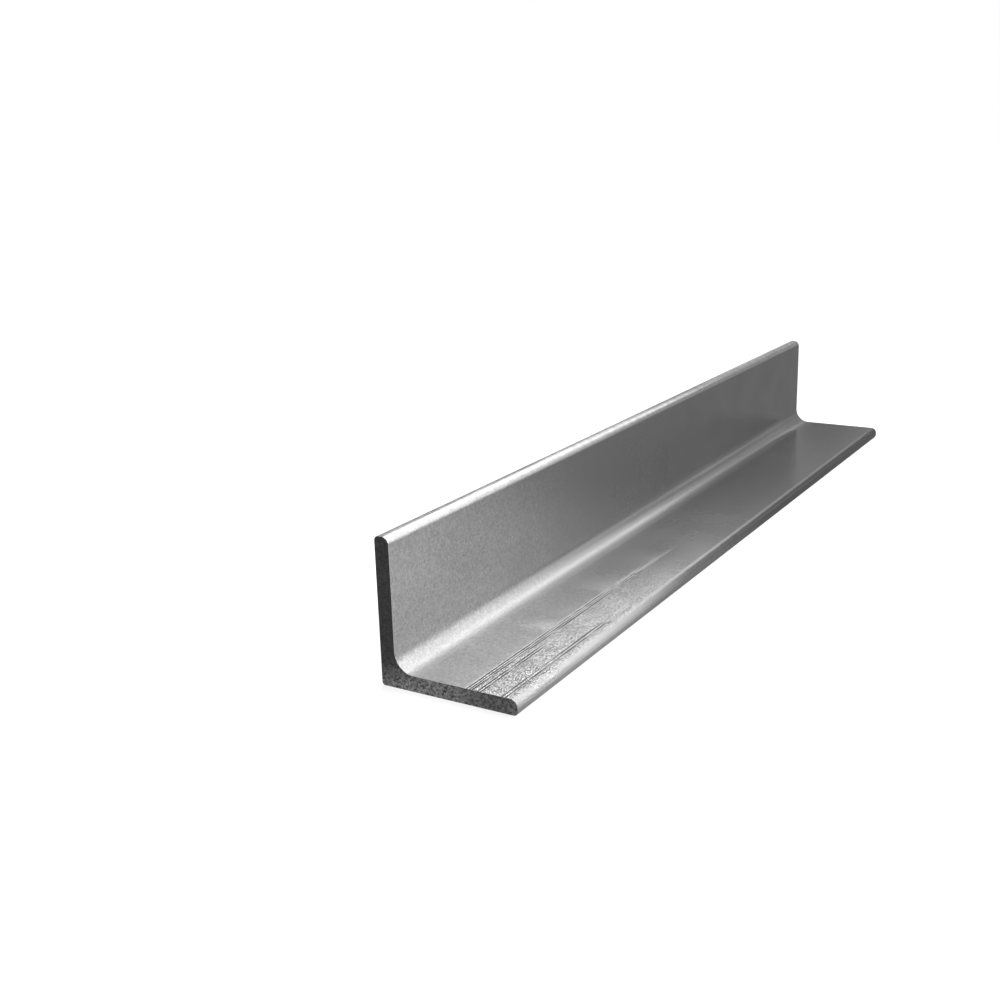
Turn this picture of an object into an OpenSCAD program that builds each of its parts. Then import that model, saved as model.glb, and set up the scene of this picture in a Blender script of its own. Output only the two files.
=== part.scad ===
// Equal-leg metal angle section: one rolled bar with parallel legs, a filleted root, rounded toes and square-cut ends.
// It lies as it is stored: one leg flat on the floor, the other standing at the heel.
// X runs across the flat leg from the heel, Y along the bar, Z up. The origin is the middle of the bar, on the floor.

/* [Legs] */
// Width of the leg that lies flat, from the heel to its toe
flat_leg = 65; // [45:1:120]
// Height of the leg that stands up, from the heel to its toe
upright_leg = 65; // [45:1:120]
// Thickness of both legs
leg_thickness = 7; // [5:0.5:10]

/* [Rounding] */
// Radius of the fillet in the root, where the inner faces meet
root_radius = 9; // [4:0.5:14]
// Radius that rolls each inner face over its toe
inner_toe_radius = 3.5; // [1:0.25:4.5]
// Radius of the outer edge of each toe
outer_toe_radius = 2; // [0.5:0.25:2.5]
// Radius of the outer corner at the heel
heel_radius = 1.5; // [0.5:0.25:4]

/* [Cut] */
// Length of the bar between its cut ends
cut_length = 500; // [150:10:1200]

/* [Hidden] */

$fn = 96;
rolled_steel = [0.66, 0.66, 0.67];

// The two toe radii share the thickness of the leg, so the inner one never takes more than is left of it
inner_toe = min(inner_toe_radius, leg_thickness - outer_toe_radius);

// Material left between a square corner at the origin and a circle of radius r that touches both its sides
module corner_web(r) {
    difference() {
        square(r);
        translate([r, r]) circle(r);
    }
}

// A leg that starts at the heel and runs along X with its outer face on the X axis, rounded at its toe
module leg(width) {
    difference() {
        square([width, leg_thickness]);
        translate([width, 0]) mirror([1, 0]) corner_web(outer_toe_radius);
        translate([width, leg_thickness]) rotate(180) corner_web(inner_toe);
    }
}

// The section as it leaves the rolls, with the heel at the origin
module rolled_section() {
    difference() {
        union() {
            leg(flat_leg);
            mirror([1, -1]) leg(upright_leg);
            translate([leg_thickness, leg_thickness]) corner_web(root_radius);
        }
        corner_web(heel_radius);
    }
}

// The bar, laid along Y with the middle of its flat leg over the origin
module angle_bar() {
    color(rolled_steel)
        translate([-flat_leg / 2, 0, 0])
            rotate([90, 0, 0])
                linear_extrude(cut_length, center = true) rolled_section();
}

angle_bar();
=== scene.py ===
import math
import random

import bmesh
import bpy
from mathutils import Matrix, Vector


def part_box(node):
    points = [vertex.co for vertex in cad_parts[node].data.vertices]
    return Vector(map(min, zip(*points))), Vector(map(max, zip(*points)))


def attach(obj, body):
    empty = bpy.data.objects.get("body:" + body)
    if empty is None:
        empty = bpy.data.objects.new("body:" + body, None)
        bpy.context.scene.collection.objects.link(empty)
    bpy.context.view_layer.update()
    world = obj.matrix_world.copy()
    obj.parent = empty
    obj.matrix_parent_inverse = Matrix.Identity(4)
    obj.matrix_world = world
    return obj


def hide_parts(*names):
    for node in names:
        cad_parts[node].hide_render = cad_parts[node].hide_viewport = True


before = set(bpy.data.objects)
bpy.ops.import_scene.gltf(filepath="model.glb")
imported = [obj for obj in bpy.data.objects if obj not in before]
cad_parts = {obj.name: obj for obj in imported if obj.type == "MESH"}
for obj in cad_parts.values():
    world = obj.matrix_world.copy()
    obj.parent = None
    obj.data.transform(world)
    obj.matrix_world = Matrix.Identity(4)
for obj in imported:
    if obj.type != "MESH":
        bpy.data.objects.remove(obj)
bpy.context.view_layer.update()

print("angle section: camera")

cameraSetup = {
    "place": (0.269742, -0.645237, 0.223946),  # metres, in the bar's own frame
    "turn": 31.524,  # degrees round the upright axis
    "tilt": 16.409,  # degrees down from level
    "roll": -1.725,
    "focal": 1.298752,  # focal length as a share of the picture's width
    "sensorWidth": 36.0,
    "nearest": 0.01,
    "furthest": 50.0,
}


def addCamera(setup):
    data = bpy.data.cameras.new("studioCamera")
    data.sensor_width = setup["sensorWidth"]
    data.lens = setup["focal"] * setup["sensorWidth"]
    data.clip_start = setup["nearest"]
    data.clip_end = setup["furthest"]
    camera = bpy.data.objects.new("studioCamera", data)
    bpy.context.scene.collection.objects.link(camera)
    turn = Matrix.Rotation(math.radians(setup["turn"]), 4, "Z")
    tilt = Matrix.Rotation(math.radians(90.0 - setup["tilt"]), 4, "X")
    roll = Matrix.Rotation(math.radians(setup["roll"]), 4, "Z")
    camera.matrix_world = Matrix.Translation(setup["place"]) @ turn @ tilt @ roll
    bpy.context.scene.camera = camera


addCamera(cameraSetup)

print("angle section: modelling the bar")

barShape = {
    "legThickness": 0.007,
    "rootRadius": 0.009,
    "innerToeRadius": 0.0035,
    "outerToeRadius": 0.002,
    "heelRadius": 0.0015,
    "rootSteps": 24,
    "innerToeSteps": 14,
    "outerToeSteps": 10,
    "heelSteps": 10,
    "cutArris": 0.0002,  # rubbed-down corner round each sawn end
    "arrisSteps": 2,
    "ringGap": 0.005,  # distance between the rings along the bar
    "flatBelow": 1.0,  # degrees, between faces that count as one flat face
    "smoothBelow": 13.0,  # degrees, so that the roll marks keep their edges
}

millWave = {
    "size": 0.045,  # length of the slow waves that rolling leaves in the skin
    "depth": 0.00006,
    "keepClear": 0.002,  # the sawn ends stay flat over this length
}

# drawn lines on the inner face of the flat leg, in bundles, which start at the near end
rollMarks = {
    "width": 0.0012,
    "fadeShare": 0.3,  # last part of a line, over which it runs out
    "unevenness": 0.6,
    "gapVariety": (0.85, 1.15),
    "reachVariety": (0.7, 1.0),
    "depthVariety": (0.6, 1.0),
    "seed": 7,
    "bundles": {
        "inner": {"place": 0.0089, "lines": 3, "gap": 0.0015, "depth": 0.0003, "reach": 0.22},
        "middle": {"place": 0.0141, "lines": 2, "gap": 0.0016, "depth": 0.00028, "reach": 0.09},
        "toe": {"place": 0.0252, "lines": 2, "gap": 0.0018, "depth": 0.00022, "reach": 0.13},
    },
}

# how near a corner, an edge or a face has to be to what is looked for, in metres
closeness = {
    "samePoint": 1e-6,
    "sameEdge": 1e-5,
    "onFace": 0.0004,
    "nearFace": 0.0005,
    "facing": 0.9,  # least share of a normal along the axis, for a face that looks that way
}


def deselectEverything():
    bpy.ops.object.select_all(action="DESELECT")


def openMesh(piece, mode):
    deselectEverything()
    piece.select_set(True)
    bpy.context.view_layer.objects.active = piece
    bpy.ops.object.mode_set(mode="EDIT")
    bpy.ops.mesh.select_mode(type=mode)
    bpy.ops.mesh.select_all(action="DESELECT")


def selectFaces(piece, wanted):
    bpy.ops.mesh.select_mode(type="FACE")
    bpy.ops.mesh.select_all(action="DESELECT")
    mesh = bmesh.from_edit_mesh(piece.data)
    for face in mesh.faces:
        face.select_set(wanted(face.calc_center_median(), face.normal))
    bmesh.update_edit_mesh(piece.data)


def selectEdges(piece, wanted):
    bpy.ops.mesh.select_mode(type="EDGE")
    bpy.ops.mesh.select_all(action="DESELECT")
    mesh = bmesh.from_edit_mesh(piece.data)
    for edge in mesh.edges:
        edge.select_set(wanted(edge.verts[0].co, edge.verts[1].co))
    bmesh.update_edit_mesh(piece.data)


def bevelSelected(radius, steps):
    bpy.ops.mesh.bevel(offset=radius, offset_type="OFFSET", segments=steps, profile=0.5,
                       affect="EDGES", clamp_overlap=False)


def roundLongEdge(piece, x, z, radius, steps):
    def wanted(a, b):
        along = abs(a.x - b.x) < closeness["samePoint"] and abs(a.z - b.z) < closeness["samePoint"]
        return along and abs(a.x - x) < closeness["sameEdge"] and abs(a.z - z) < closeness["sameEdge"]

    selectEdges(piece, wanted)
    bevelSelected(radius, steps)


def cutRings(low, high, gap):
    # plain cuts across the whole bar, which add an edge ring and take nothing away
    count = round((high.y - low.y) / gap)
    for ring in range(1, count):
        bpy.ops.mesh.select_all(action="SELECT")
        bpy.ops.mesh.bisect(plane_co=(0, low.y + (high.y - low.y) * ring / count, 0),
                            plane_no=(0, 1, 0))


def pressRollMarks(piece, low, topZ, marks):
    # each line is three cuts along the face, and its middle is pressed down between its two sides
    chance = random.Random(marks["seed"])
    half = marks["width"] / 2
    for bundle in marks["bundles"].values():
        for number in range(bundle["lines"]):
            place = bundle["place"] + number * bundle["gap"] * chance.uniform(*marks["gapVariety"])
            reach = bundle["reach"] * chance.uniform(*marks["reachVariety"])
            depth = bundle["depth"] * chance.uniform(*marks["depthVariety"])
            for side in (-half, 0.0, half):
                selectFaces(piece, lambda centre, normal: normal.z > closeness["facing"]
                            and abs(centre.z - topZ) < closeness["nearFace"]
                            and centre.y < low.y + reach)
                bpy.ops.mesh.bisect(plane_co=(place + side, 0, 0), plane_no=(1, 0, 0))
            mesh = bmesh.from_edit_mesh(piece.data)
            layer = mesh.verts.layers.float.get("rollMark") or mesh.verts.layers.float.new("rollMark")
            for vertex in mesh.verts:
                spot = vertex.co
                if (abs(spot.x - place) < closeness["samePoint"]
                        and abs(spot.z - topZ) < closeness["onFace"]):
                    left = 1.0 - (spot.y - low.y) / reach
                    strength = min(max(left / marks["fadeShare"], 0.0), 1.0)
                    strength *= 1.0 - marks["unevenness"] * chance.random()
                    spot.z -= depth * strength
                    vertex[layer] = strength  # read by the finish, which paints shade into the bottom of the line and a highlight along its sides
            bmesh.update_edit_mesh(piece.data)


def waveSkin(piece, low, high, wave):
    # slow waves in the rolled skin, which only go inwards
    group = piece.vertex_groups.new(name="rolledSkin")
    inner = [v.index for v in piece.data.vertices
             if low.y + wave["keepClear"] < v.co.y < high.y - wave["keepClear"]]
    group.add(inner, 1.0, "REPLACE")
    texture = bpy.data.textures.new("millWaves", "CLOUDS")
    texture.noise_scale = wave["size"]
    modifier = piece.modifiers.new("millWaves", "DISPLACE")
    modifier.texture = texture
    modifier.texture_coords = "LOCAL"
    modifier.mid_level = 1.0
    modifier.strength = wave["depth"]
    modifier.vertex_group = group.name
    bpy.ops.object.modifier_apply(modifier=modifier.name)
    piece.vertex_groups.clear()


def modelBar(name, shape, marks, wave):
    low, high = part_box("angle_bar")
    thickness = shape["legThickness"]
    size = high - low
    middle = (low + high) / 2
    rootX, rootZ = low.x + thickness, low.z + thickness

    # the flat leg
    deselectEverything()
    bpy.ops.mesh.primitive_cube_add(size=1.0, location=(middle.x, middle.y, low.z + thickness / 2),
                                    scale=(size.x, size.y, thickness))
    piece = bpy.context.active_object
    piece.name = piece.data.name = name
    bpy.ops.object.transform_apply(location=True, rotation=True, scale=True)

    # the upright leg, drawn up from a strip along the heel
    openMesh(piece, "EDGE")
    bpy.ops.mesh.select_all(action="SELECT")
    bpy.ops.mesh.bisect(plane_co=(rootX, 0, 0), plane_no=(1, 0, 0))
    selectFaces(piece, lambda centre, normal: normal.z > closeness["facing"] and centre.x < rootX)
    bpy.ops.mesh.extrude_region_move(
        TRANSFORM_OT_translate={"value": (0, 0, size.z - thickness)})
    bpy.ops.mesh.select_all(action="SELECT")
    bpy.ops.mesh.dissolve_limited(angle_limit=math.radians(shape["flatBelow"]))

    # the roundings that the rolls leave: the root, the inner and outer side of both toes, and the heel
    roundLongEdge(piece, rootX, rootZ, shape["rootRadius"], shape["rootSteps"])
    roundLongEdge(piece, high.x, rootZ, shape["innerToeRadius"], shape["innerToeSteps"])
    roundLongEdge(piece, rootX, high.z, shape["innerToeRadius"], shape["innerToeSteps"])
    roundLongEdge(piece, high.x, low.z, shape["outerToeRadius"], shape["outerToeSteps"])
    roundLongEdge(piece, low.x, high.z, shape["outerToeRadius"], shape["outerToeSteps"])
    roundLongEdge(piece, low.x, low.z, shape["heelRadius"], shape["heelSteps"])

    # the arris round both sawn ends
    selectEdges(piece, lambda a, b: abs(a.y - b.y) < closeness["samePoint"])
    bevelSelected(shape["cutArris"], shape["arrisSteps"])

    cutRings(low, high, shape["ringGap"])
    pressRollMarks(piece, low, rootZ, marks)
    bpy.ops.mesh.select_all(action="SELECT")
    bpy.ops.mesh.remove_doubles(threshold=closeness["samePoint"])
    bpy.ops.mesh.normals_make_consistent(inside=False)
    bpy.ops.object.mode_set(mode="OBJECT")
    waveSkin(piece, low, high, wave)
    bpy.ops.object.shade_smooth_by_angle(angle=math.radians(shape["smoothBelow"]))
    return piece


angleBar = modelBar("rolled_angle", barShape, rollMarks, millWave)
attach(angleBar, "root")
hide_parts("angle_bar")

print("angle section: node groups for the finishes")

nodeSpacing = {"column": 220, "row": 300}

peelPattern = {
    "detail": 3.0,
    "roughness": 0.6,
    "swellScale": 0.4,  # the swells under the pebbles are as much coarser
    "swellDetail": 1.0,
    "swellShare": 0.7,
    "toneRange": (0.3, 0.7),  # values of the noise that count as the darkest and the palest blotch
}

linePattern = {
    "detail": 3.0,
    "roughness": 0.65,
    "range": (0.25, 0.75),
}

wearPattern = {
    "patchScale": 220.0,
    "patchDetail": 4.0,
    "patchRange": (0.35, 0.65),
}


def addNode(tree, kind, **settings):
    node = tree.nodes.new(kind)
    for name, value in settings.items():
        setattr(node, name, value)
    return node


def feed(tree, socket, value):
    # a socket takes a number, a colour or a link from another node
    if isinstance(value, bpy.types.NodeSocket):
        tree.links.new(value, socket)
    else:
        socket.default_value = value


def arrangeNodes(tree, spacing):
    # every node stands one column to the left of the nodes that it feeds
    columns = {node.name: 0 for node in tree.nodes}
    for _ in tree.nodes:
        for link in tree.links:
            fed = columns[link.to_node.name]
            columns[link.from_node.name] = max(columns[link.from_node.name], fed + 1)
    filled = {}
    for name, column in columns.items():
        row = filled.get(column, 0)
        tree.nodes[name].location = (-column * spacing["column"], -row * spacing["row"])
        filled[column] = row + 1


def calculate(tree, operation, *values):
    node = addNode(tree, "ShaderNodeMath", operation=operation)
    for socket, value in zip(node.inputs, values):
        feed(tree, socket, value)
    return node.outputs["Value"]


def together(tree, *masks):
    # a mask that is as strong as all of them are together
    product = masks[0]
    for mask in masks[1:]:
        product = calculate(tree, "MULTIPLY", product, mask)
    return product


def remap(tree, value, fromLow, fromHigh, toLow=0.0, toHigh=1.0, smooth=False):
    node = addNode(tree, "ShaderNodeMapRange")
    node.interpolation_type = "SMOOTHSTEP" if smooth else "LINEAR"
    limits = {"Value": value, "From Min": fromLow, "From Max": fromHigh, "To Min": toLow, "To Max": toHigh}
    for name, limit in limits.items():
        feed(tree, node.inputs[name], limit)
    return node.outputs["Result"]


def separate(tree, vector):
    node = addNode(tree, "ShaderNodeSeparateXYZ")
    feed(tree, node.inputs["Vector"], vector)
    return node.outputs["X"], node.outputs["Y"], node.outputs["Z"]


def addNoise(tree, vector, scale, detail, roughness=0.5):
    node = addNode(tree, "ShaderNodeTexNoise")
    for name, value in {"Vector": vector, "Scale": scale, "Detail": detail, "Roughness": roughness}.items():
        feed(tree, node.inputs[name], value)
    return node.outputs["Fac"]


def newGroup(name, inputs, outputs):
    # an input without a starting value is a vector
    group = bpy.data.node_groups.new(name, "ShaderNodeTree")
    for label, start in inputs.items():
        kind = "NodeSocketVector" if start is None else "NodeSocketFloat"
        socket = group.interface.new_socket(label, in_out="INPUT", socket_type=kind)
        if start is not None:
            socket.default_value = start
    for label in outputs:
        group.interface.new_socket(label, in_out="OUTPUT", socket_type="NodeSocketFloat")
    return group, addNode(group, "NodeGroupInput").outputs, addNode(group, "NodeGroupOutput").inputs


def makePeelGrain(pattern):
    # the orange-peel skin of pickled metal, and the slow change of tone over it; sizes are in metres
    group, given, result = newGroup(
        "peelGrain", {"Vector": None, "Grain Size": 0.001, "Blotch Size": 0.03}, ("Height", "Tone"))
    grainScale = calculate(group, "DIVIDE", 1.0, given["Grain Size"])
    pebbles = addNoise(group, given["Vector"], grainScale, pattern["detail"], pattern["roughness"])
    swellScale = calculate(group, "MULTIPLY", grainScale, pattern["swellScale"])
    swells = addNoise(group, given["Vector"], swellScale, pattern["swellDetail"])
    height = calculate(group, "MULTIPLY_ADD", swells, pattern["swellShare"], pebbles)
    blotchScale = calculate(group, "DIVIDE", 1.0, given["Blotch Size"])
    blotches = addNoise(group, given["Vector"], blotchScale, pattern["detail"])
    feed(group, result["Height"], height)
    feed(group, result["Tone"], remap(group, blotches, *pattern["toneRange"]))
    arrangeNodes(group, nodeSpacing)
    return group


def makeFineLines(pattern):
    # fine lines along the vector's Y, such as rolling and sawing leave; Across and Along are their sizes
    group, given, result = newGroup(
        "fineLines", {"Vector": None, "Across": 0.0006, "Along": 0.2}, ("Lines",))
    sizes = addNode(group, "ShaderNodeCombineXYZ")
    for axis, size in {"X": "Across", "Y": "Along", "Z": "Across"}.items():
        feed(group, sizes.inputs[axis], given[size])
    stretched = addNode(group, "ShaderNodeVectorMath", operation="DIVIDE")
    feed(group, stretched.inputs[0], given["Vector"])
    feed(group, stretched.inputs[1], sizes.outputs["Vector"])
    lines = addNoise(group, stretched.outputs["Vector"], 1.0, pattern["detail"], pattern["roughness"])
    feed(group, result["Lines"], remap(group, lines, *pattern["range"]))
    arrangeNodes(group, nodeSpacing)
    return group


def makeEdgeWear(pattern):
    # a mask that is 1 where handling rubs the bar, at its toes and round its sawn ends
    group, given, result = newGroup("edgeWear", {
        "Vector": None, "Half Length": 0.25, "Toe X": 0.0325, "Toe Z": 0.065,
        "Toe Width": 0.0035, "End Width": 0.0006, "Break Up": 0.5}, ("Wear",))
    across, along, height = separate(group, given["Vector"])
    toEnd = calculate(group, "SUBTRACT", given["Half Length"], calculate(group, "ABSOLUTE", along))
    toSide = calculate(group, "SUBTRACT", given["Toe X"], across)
    toTop = calculate(group, "SUBTRACT", given["Toe Z"], height)
    toToe = calculate(group, "MINIMUM", toSide, toTop)
    endMask = remap(group, toEnd, 0.0, given["End Width"], 1.0, 0.0, smooth=True)
    toeMask = remap(group, toToe, 0.0, given["Toe Width"], 1.0, 0.0, smooth=True)
    both = calculate(group, "MAXIMUM", endMask, toeMask)
    patches = addNoise(group, given["Vector"], pattern["patchScale"], pattern["patchDetail"])
    spared = calculate(group, "SUBTRACT", 1.0, remap(group, patches, *pattern["patchRange"]))
    kept = calculate(group, "SUBTRACT", 1.0, calculate(group, "MULTIPLY", given["Break Up"], spared))
    feed(group, result["Wear"], together(group, both, kept))
    arrangeNodes(group, nodeSpacing)
    return group


peelGrain = makePeelGrain(peelPattern)
fineLines = makeFineLines(linePattern)
edgeWear = makeEdgeWear(wearPattern)

print("angle section: finishes")

rolledFinish = {
    "deepColour": (0.285, 0.285, 0.288, 1),
    "paleColour": (0.545, 0.545, 0.548, 1),
    "wornColour": (0.72, 0.72, 0.72, 1),
    "grooveShadeColour": (0.07, 0.07, 0.07, 1),  # painted shade in the bottom of the roll marks
    "grooveShadeRange": (0.12, 0.5),
    "grooveHighlightColour": (0.8, 0.8, 0.8, 1),  # painted highlight beside them
    "grooveHighlightRange": (0.0, 0.2),
    "roughLow": 0.26,
    "roughHigh": 0.34,
    "roughFar": 0.24,
    "grainSize": 0.0005,
    "grainRise": 0.00014,  # metres from the pits to the tops of the grain
    "grainRange": (0.62, 1.08),  # heights of the grain that count as its pits and its tops
    "speckleSwing": (-0.5, 0.5),  # how far the pits and the tops go towards the deep and the pale colour
    "blotchSize": 0.03,
    "blotchShare": 0.15,
    "paintedNearLight": 0.12,  # painted light: how far the grainy near end goes towards the pale colour, standing in for the brighter light there
    # along the bar, where the grainy near end goes over to the smooth far end
    "grainFade": (-0.2, -0.05),
    "roughFade": (-0.1, 0.12),
    "farGrain": 0.03,
    "farSpeckle": 0.02,
    # the part of the flat leg that the rolls drew out: across the bar, along it, and in height
    "drawnSide": (0.0065, 0.010),
    "drawnBack": (-0.2, -0.03),
    "drawnTop": (0.0072, 0.009),
    "speckColour": (0.96, 0.96, 0.96, 1),  # the skin that was drawn out, and the pits between
    "pitColour": (0.15, 0.15, 0.15, 1),
    "speckShare": 0.85,
    "lineAcross": 0.0004,
    "lineAlong": 0.0008,
    "lineRise": 0.00009,
    "lineRange": (0.36, 0.64),
    # painted light on the flat toe, a painted highlight on its rounding by the near end and painted shade
    # further back: across, along, and in height
    "toeLightSide": (0.0285, 0.0305),
    "toeShadeBack": (-0.2, -0.07),
    "toeLightTop": (0.0062, 0.0069),
    "toeHighlightUnder": (0.003, 0.0036),
    "toeHighlightColour": (0.66, 0.66, 0.66, 1),  # painted highlight, on the rounding of the toe
    "toeSideShadeColour": (0.43, 0.43, 0.43, 1),  # painted shade, on its side
    # painted shade along the toe further back
    "toeFarShadeColour": (0.15, 0.15, 0.15, 1),
    "toeLightShare": 0.85,
    # painted highlight on the root fillet, which is painted paler: across the bar, in height, and clear of
    # the backs
    "rootSide": (-0.0162, -0.0138),
    "rootTop": (0.0085, 0.0118),
    "rootBack": (-0.031, -0.029),
    "rootUnder": (0.003, 0.005),
    "rootHighlightColour": (0.8, 0.8, 0.8, 1),
    "rootHighlightShare": 0.25,
}

sawnFinish = {
    "endShadeColour": (0.12, 0.12, 0.12, 1),  # painted shade on the upper part of the cut
    "deepColour": (0.1, 0.1, 0.1, 1),
    "paleColour": (0.98, 0.98, 0.98, 1),
    "wornColour": (0.4, 0.4, 0.4, 1),
    "roughLow": 0.45,
    "roughHigh": 0.65,
    "grainSize": 0.00055,
    "grainRise": 0.0001,
    "grainRange": (0.62, 1.08),
    "blotchSize": 0.012,
    "endShadeShare": 0.88,
    "endShadeRise": (-0.004, 0.012),  # height over the heel's slope, where the cut goes over to the painted shade
    "endShadeSlope": 0.35,
    "halfWidth": 0.0325,  # from the middle of the bar to its heel, where that slope starts
    "runOut": (-0.004, 0.02),  # across the bar, where painted shade makes the cut a little darker again
    "endSideShadeShare": 0.5,
    "lineAcross": 0.0006,
    "lineAlong": 0.02,
    "lineRise": 0.00005,
    "bladeTilt": 24.0,  # degrees, the way the saw went through
    "wearWidth": 0.0003,  # along the toes
    "wearHalfLength": 1.0,  # beyond the cut, so that the whole end isn't worn
    "facing": 0.5,  # a face whose normal goes further than this along the bar belongs to the cut
}


def newMaterial(name):
    material = bpy.data.materials.new(name)
    material.use_nodes = True
    tree = material.node_tree
    tree.nodes.clear()
    return material, tree, addNode(tree, "ShaderNodeOutputMaterial").inputs["Surface"]


def objectPlace(tree):
    return addNode(tree, "ShaderNodeTexCoord").outputs["Object"]


def useGroup(tree, group, values):
    node = addNode(tree, "ShaderNodeGroup", node_tree=group)
    for name, value in values.items():
        feed(tree, node.inputs[name], value)
    return node.outputs


def mixColour(tree, factor, first, second):
    node = addNode(tree, "ShaderNodeMix", data_type="RGBA")
    colourA, colourB = [socket for socket in node.inputs if socket.type == "RGBA"]
    for socket, value in ((node.inputs["Factor"], factor), (colourA, first), (colourB, second)):
        feed(tree, socket, value)
    return [socket for socket in node.outputs if socket.type == "RGBA"][0]


def addBump(tree, height, rise, normal=None):
    node = addNode(tree, "ShaderNodeBump")
    node.inputs["Strength"].default_value = 1.0
    node.inputs["Distance"].default_value = rise
    feed(tree, node.inputs["Height"], height)
    if normal is not None:
        feed(tree, node.inputs["Normal"], normal)
    return node.outputs["Normal"]


def addMetal(tree, surface, colour, rough, relief):
    shader = addNode(tree, "ShaderNodeBsdfPrincipled")
    shader.inputs["Metallic"].default_value = 1.0
    for name, value in {"Base Color": colour, "Roughness": rough, "Normal": relief}.items():
        feed(tree, shader.inputs[name], value)
    feed(tree, surface, shader.outputs["BSDF"])
    arrangeNodes(tree, nodeSpacing)


def makeRolledSteel(finish):
    material, tree, surface = newMaterial("rolledSteel")
    spot = objectPlace(tree)
    across, along, height = separate(tree, spot)
    grain = useGroup(tree, peelGrain, {"Vector": spot, "Grain Size": finish["grainSize"],
                                       "Blotch Size": finish["blotchSize"]})
    lines = useGroup(tree, fineLines, {"Vector": spot, "Across": finish["lineAcross"],
                                       "Along": finish["lineAlong"]})
    wear = useGroup(tree, edgeWear, {"Vector": spot})
    near = remap(tree, along, *finish["grainFade"], 1.0, 0.0, smooth=True)

    # grain and slow blotches, strong at the near end and faint beyond it, with the near end painted paler
    # as painted light
    speckle = together(tree,
                       remap(tree, grain["Height"], *finish["grainRange"], *finish["speckleSwing"]),
                       remap(tree, near, 0.0, 1.0, finish["farSpeckle"], 1.0))
    half = (1.0 - finish["blotchShare"]) / 2
    blotch = remap(tree, grain["Tone"], 0.0, 1.0, half, 1.0 - half)
    paler = calculate(tree, "MULTIPLY_ADD", near, finish["paintedNearLight"], blotch)
    shade = calculate(tree, "ADD", speckle, paler)
    colour = mixColour(tree, shade, finish["deepColour"], finish["paleColour"])

    # the rolls have drawn the outer half of the flat leg rough at the near end
    drawnHere = together(tree,
                         remap(tree, along, *finish["drawnBack"], 1.0, 0.0, smooth=True),
                         remap(tree, height, *finish["drawnTop"], 1.0, 0.0),
                         remap(tree, across, *finish["drawnSide"], smooth=True))
    specks = remap(tree, lines["Lines"], *finish["lineRange"], smooth=True)
    drawnTone = mixColour(tree, specks, finish["pitColour"], finish["speckColour"])
    drawnShare = calculate(tree, "MULTIPLY", drawnHere, finish["speckShare"])
    colour = mixColour(tree, drawnShare, colour, drawnTone)

    # painted highlight: the root fillet painted paler
    rootHere = together(tree,
                        remap(tree, across, *finish["rootSide"], finish["rootHighlightShare"], 0.0, smooth=True),
                        remap(tree, height, *finish["rootTop"], 1.0, 0.0, smooth=True),
                        remap(tree, across, *finish["rootBack"]),
                        remap(tree, height, *finish["rootUnder"]))
    colour = mixColour(tree, rootHere, colour, finish["rootHighlightColour"])

    # rubbed toes and end corners, and the painted highlight and painted shade on the flat toe
    colour = mixColour(tree, wear["Wear"], colour, finish["wornColour"])
    toeHere = together(tree,
                       remap(tree, across, *finish["toeLightSide"], 0.0, finish["toeLightShare"]),
                       remap(tree, height, *finish["toeLightTop"], 1.0, 0.0))
    polished = mixColour(tree, remap(tree, height, *finish["toeHighlightUnder"]), finish["toeSideShadeColour"],
                         finish["toeHighlightColour"])
    toeTone = mixColour(tree, remap(tree, along, *finish["toeShadeBack"], smooth=True), polished,
                        finish["toeFarShadeColour"])
    colour = mixColour(tree, toeHere, colour, toeTone)

    # the roll marks, with a painted highlight at their sides and painted shade at the bottom
    mark = addNode(tree, "ShaderNodeAttribute", attribute_name="rollMark").outputs["Fac"]
    drawnUp = remap(tree, mark, *finish["grooveHighlightRange"], smooth=True)
    colour = mixColour(tree, drawnUp, colour, finish["grooveHighlightColour"])
    pressed = remap(tree, mark, *finish["grooveShadeRange"], smooth=True)
    colour = mixColour(tree, pressed, colour, finish["grooveShadeColour"])

    roughNear = remap(tree, grain["Tone"], 0.0, 1.0, finish["roughHigh"], finish["roughLow"])
    rougher = remap(tree, along, *finish["roughFade"], 1.0, 0.0, smooth=True)
    rough = remap(tree, rougher, 0.0, 1.0, finish["roughFar"], roughNear)
    peel = together(tree, grain["Height"], remap(tree, near, 0.0, 1.0, finish["farGrain"], 1.0))
    ground = addBump(tree, peel, finish["grainRise"])
    relief = addBump(tree, together(tree, specks, drawnHere), finish["lineRise"], ground)
    addMetal(tree, surface, colour, rough, relief)
    return material


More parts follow.
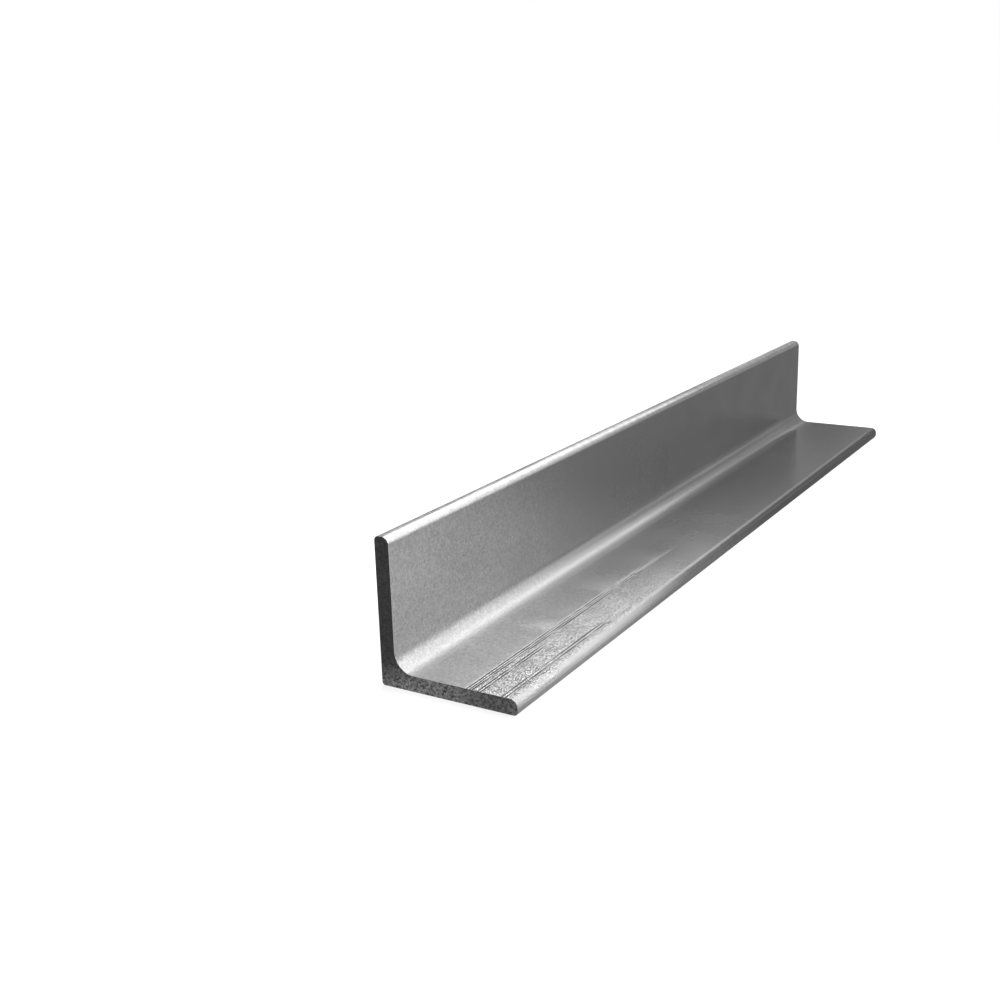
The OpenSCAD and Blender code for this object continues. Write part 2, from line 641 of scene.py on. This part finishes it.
def makeSawnSteel(finish):
    material, tree, surface = newMaterial("sawnSteel")
    spot = objectPlace(tree)
    turned = addNode(tree, "ShaderNodeMapping")
    turned.inputs["Rotation"].default_value = (0, math.radians(finish["bladeTilt"]), 0)
    feed(tree, turned.inputs["Vector"], spot)
    sideways, _, upwards = separate(tree, turned.outputs["Vector"])
    overEnd = addNode(tree, "ShaderNodeCombineXYZ")
    feed(tree, overEnd.inputs["X"], upwards)
    feed(tree, overEnd.inputs["Y"], sideways)
    lines = useGroup(tree, fineLines, {"Vector": overEnd.outputs["Vector"],
                                       "Across": finish["lineAcross"], "Along": finish["lineAlong"]})
    grain = useGroup(tree, peelGrain, {"Vector": spot, "Grain Size": finish["grainSize"],
                                       "Blotch Size": finish["blotchSize"]})
    wear = useGroup(tree, edgeWear, {"Vector": spot, "Toe Width": finish["wearWidth"],
                                     "Half Length": finish["wearHalfLength"]})

    # bright torn grain by the heel, and painted shade over the cut above it
    across, _, height = separate(tree, spot)
    fromHeel = calculate(tree, "MULTIPLY_ADD", across, -finish["endShadeSlope"],
                         -finish["endShadeSlope"] * finish["halfWidth"])
    overSlope = calculate(tree, "ADD", height, fromHeel)
    dull = remap(tree, overSlope, *finish["endShadeRise"], 0.0, finish["endShadeShare"], smooth=True)
    # painted shade, darker across the cut towards the flat leg's toe
    runOut = remap(tree, across, *finish["runOut"], 1.0, finish["endSideShadeShare"])
    speckle = together(tree, remap(tree, grain["Height"], *finish["grainRange"]), runOut)
    colour = mixColour(tree, speckle, finish["deepColour"], finish["paleColour"])
    colour = mixColour(tree, dull, colour, finish["endShadeColour"])
    colour = mixColour(tree, wear["Wear"], colour, finish["wornColour"])

    rough = remap(tree, lines["Lines"], 0.0, 1.0, finish["roughLow"], finish["roughHigh"])
    ground = addBump(tree, grain["Height"], finish["grainRise"])
    relief = addBump(tree, lines["Lines"], finish["lineRise"], ground)
    addMetal(tree, surface, colour, rough, relief)
    return material


def dressBar(piece, rolled, sawn, sawnFacing):
    piece.data.materials.append(rolled)
    piece.data.materials.append(sawn)
    for face in piece.data.polygons:
        face.material_index = 1 if abs(face.normal.y) > sawnFacing else 0


dressBar(angleBar, makeRolledSteel(rolledFinish), makeSawnSteel(sawnFinish), sawnFinish["facing"])

print("angle section: floor and light")

studio = {
    "floorColour": (0.8, 0.8, 0.8, 1),
    "floorSize": 14.0,
    "floorGlow": 0.75,  # near the bar, what the camera sees on top of the floor's own light
    "glowFade": (0.3, 0.9),  # metres from the bar's middle, where the floor goes over to plain white
    "roomLight": 0.216,
    "backgroundColour": (1, 1, 1, 1),
    "backgroundWhite": 1.0,
    # how much of the white background shows in the metal: all of it from a painted pool of light on the
    # floor by the near end and from a strip behind the upright leg, and less from the rest, with a painted
    # shadow on the floor close beside the bar
    "roomInMetal": 0.192,
    "floorInMetalNear": 1.0,
    "floorInMetalFar": 0.26,
    "poolSide": (0.02, 0.055),  # across the bar, where the floor goes from a painted shadow beside the bar to the painted pool of light
    "poolFront": (-0.29, -0.23),  # along the bar, where it does so
    "poolBack": (-0.1, 0.08),  # along the bar, where it goes back to dull
    "behindSide": (-0.08, -0.045),  # across the bar, where the painted light on the floor behind it ends in a painted shadow by the bar
    "behindFront": (-0.25, -0.2),  # along the bar, where it begins
}

# most softboxes stand close to the front of the bar, and the wall ones far behind it
softboxUsual = {"size": 0.3, "distance": 0.55, "aim": (0.0, -0.2, 0.02)}
barMiddle = (0.0, 0.0, 0.02)
wallUsual = {"size": 0.6, "distance": 3.0, "aim": (0.0, 0.1, 0.0)}
# turn is in degrees from the bar's far end towards its right side, rise in degrees above the floor,
# and a strength of 1 shows as white in a mirror
softboxes = {
    "leftHigh": {"turn": -30, "rise": 50, "strength": 1.58},
    "leftLow": {"turn": -10, "rise": 20, "strength": 0.1},
    "leftMiddle": {"turn": -10, "rise": 35, "strength": 1.05},
    "backHigh": {"turn": 10, "rise": 50, "strength": 1.2},
    "overhead": {"turn": 10, "rise": 65, "strength": 1.2},
    "rightMiddle": {"turn": 25, "rise": 35, "strength": 0.5},
    "rightLow": {"turn": 40, "rise": 20, "strength": 0.82},
    "sideLow": {"turn": 60, "rise": 20, "strength": 1.32},
    "sideHigh": {"turn": 60, "rise": 35, "strength": 2.3},
    "overBar": {"turn": 25, "rise": 35, "strength": 0.31, "size": 0.4, "distance": 0.9, "aim": barMiddle},
    "wallMiddle": {"turn": 4, "rise": 7, "strength": 1.13, **wallUsual},
    "wallRight": {"turn": 28, "rise": 7, "strength": 0.39, **wallUsual},
    "wallLeft": {"turn": -8, "rise": 19, "strength": 0.28, **wallUsual},
    "wallSide": {"turn": 28, "rise": 19, "strength": 0.1, **wallUsual, "size": 1.2},
    "wallHigh": {"turn": 4, "rise": 31, "strength": 0.29, **wallUsual},
    "behindCamera": {"turn": 150, "rise": 20, "strength": 0.8, "size": 1.6, "distance": 2.5,
                     "aim": barMiddle},
    "pastTheEnd": {"turn": -21, "rise": 14, "strength": 0.9, **wallUsual, "size": 0.25,
                   "aim": (0.0, 0.2, 0.0)},
}


def addSoftbox(name, setup):
    size, distance, aim = setup["size"], setup["distance"], Vector(setup["aim"])
    data = bpy.data.lights.new(name, "AREA")
    data.shape = "SQUARE"
    data.size = size
    data.energy = setup["strength"] * math.pi * size ** 2
    lamp = bpy.data.objects.new(name, data)
    bpy.context.scene.collection.objects.link(lamp)
    turn, rise = math.radians(setup["turn"]), math.radians(setup["rise"])
    out = Vector((math.sin(turn) * math.cos(rise), math.cos(turn) * math.cos(rise), math.sin(rise)))
    lamp.location = aim + out * distance
    lamp.rotation_euler = (-out).to_track_quat("-Z", "Y").to_euler()
    lamp.visible_camera = False


def sortRays(tree):
    # the first is 1 for what metal and glass show, the second for what the camera sees straight
    rays = addNode(tree, "ShaderNodeLightPath").outputs
    mirrored = calculate(tree, "MAXIMUM", rays["Is Glossy Ray"], rays["Is Transmission Ray"])
    return mirrored, rays["Is Camera Ray"]


def addFloor(setup):
    deselectEverything()
    bpy.ops.mesh.primitive_plane_add(size=setup["floorSize"], location=(0, 0, 0))
    floor = bpy.context.active_object
    floor.name = "studio_floor"
    material, tree, surface = newMaterial("paleFloor")
    mirrored, direct = sortRays(tree)
    spot = objectPlace(tree)

    # what the camera sees: the floor's own light with the bar's shadow, lifted to white
    away = addNode(tree, "ShaderNodeVectorMath", operation="LENGTH")
    feed(tree, away.inputs[0], spot)
    level = remap(tree, away.outputs["Value"], *setup["glowFade"], setup["floorGlow"],
                  setup["backgroundWhite"], smooth=True)
    diffuse = addNode(tree, "ShaderNodeBsdfDiffuse")
    diffuse.inputs["Color"].default_value = setup["floorColour"]
    glow = addNode(tree, "ShaderNodeEmission")
    feed(tree, glow.inputs["Strength"], together(tree, direct, level))
    seen = addNode(tree, "ShaderNodeAddShader")
    feed(tree, seen.inputs[0], diffuse.outputs["BSDF"])
    feed(tree, seen.inputs[1], glow.outputs["Emission"])

    # what the metal shows: a painted pool of light on the floor by the near end and behind the upright leg,
    # with painted shadow close beside the bar, and duller floor elsewhere
    across, along, _ = separate(tree, spot)
    beside = together(tree,
                      remap(tree, along, *setup["poolBack"], 1.0, 0.0, smooth=True),
                      remap(tree, along, *setup["poolFront"], smooth=True),
                      remap(tree, across, *setup["poolSide"], smooth=True))
    behind = together(tree,
                      remap(tree, across, *setup["behindSide"], 1.0, 0.0, smooth=True),
                      remap(tree, along, *setup["behindFront"], smooth=True))
    bright = calculate(tree, "MAXIMUM", beside, behind)
    shown = addNode(tree, "ShaderNodeEmission")
    feed(tree, shown.inputs["Strength"],
         remap(tree, bright, 0.0, 1.0, setup["floorInMetalFar"], setup["floorInMetalNear"]))

    either = addNode(tree, "ShaderNodeMixShader")
    feed(tree, either.inputs["Fac"], mirrored)
    feed(tree, either.inputs[1], seen.outputs["Shader"])
    feed(tree, either.inputs[2], shown.outputs["Emission"])
    feed(tree, surface, either.outputs["Shader"])
    arrangeNodes(tree, nodeSpacing)
    floor.data.materials.append(material)


def addWorld(setup):
    world = bpy.data.worlds.new("studioRoom")
    bpy.context.scene.world = world
    world.use_nodes = True
    tree = world.node_tree
    tree.nodes.clear()
    output = addNode(tree, "ShaderNodeOutputWorld")
    background = addNode(tree, "ShaderNodeBackground")
    background.inputs["Color"].default_value = setup["backgroundColour"]
    mirrored, direct = sortRays(tree)
    room = remap(tree, mirrored, 0.0, 1.0, setup["roomLight"], setup["roomInMetal"])
    strength = remap(tree, direct, 0.0, 1.0, room, setup["backgroundWhite"])
    feed(tree, background.inputs["Strength"], strength)
    feed(tree, output.inputs["Surface"], background.outputs["Background"])
    arrangeNodes(tree, nodeSpacing)


addFloor(studio)
for boxName, box in softboxes.items():
    addSoftbox(boxName, {**softboxUsual, **box})
addWorld(studio)
bpy.context.scene.view_settings.view_transform = "Standard"

print("angle section: done")
